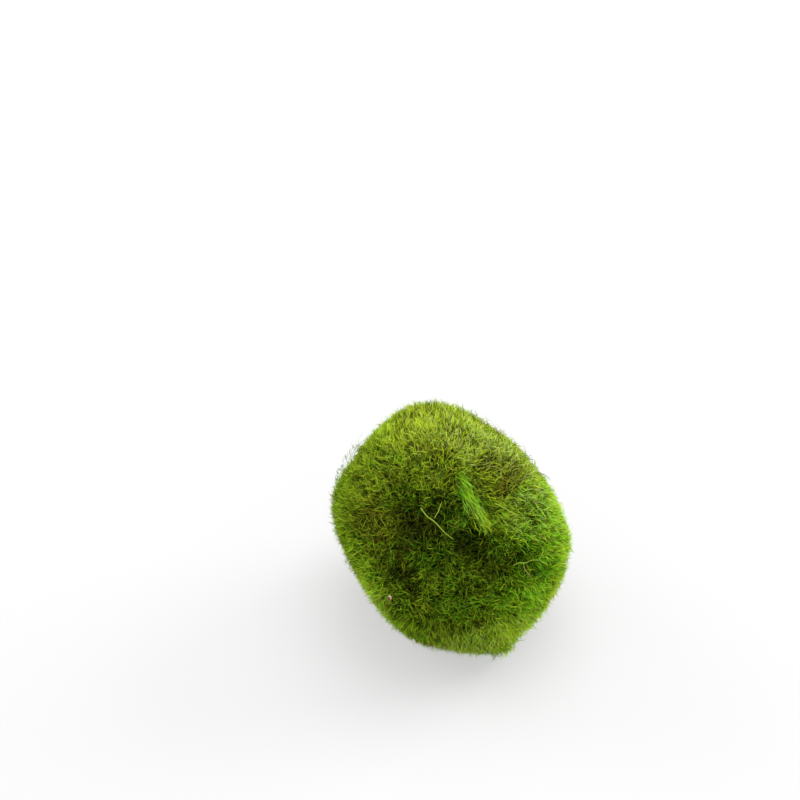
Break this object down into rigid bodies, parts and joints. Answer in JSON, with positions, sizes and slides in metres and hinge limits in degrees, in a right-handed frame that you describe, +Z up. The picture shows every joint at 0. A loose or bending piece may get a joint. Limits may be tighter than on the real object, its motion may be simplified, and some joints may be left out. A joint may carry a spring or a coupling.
{
  "type": "marimo moss ball",
  "caption": "Soft green marimo moss ball of packed algae filaments, lopsided and faceted, with a ridge from its crown, resting on a small flat spot in an aquarium",
  "frame": {"origin": "On the surface the ball rests on, under the middle of its box", "axes": "+Z up from the flat spot through the crown, -Y the front with the ridge and the hollowed face, +X the right side with the bulge and the toe"},
  "size_m": [0.0538, 0.0536, 0.055],
  "materials": {
    "algae_filaments": "matt, velvety, living green filaments; yellow-green at the tips, dark olive in the folds"
  },
  "bodies": {
    "root": {"moss_ball": "algae_filaments"}
  },
  "joints": []
}
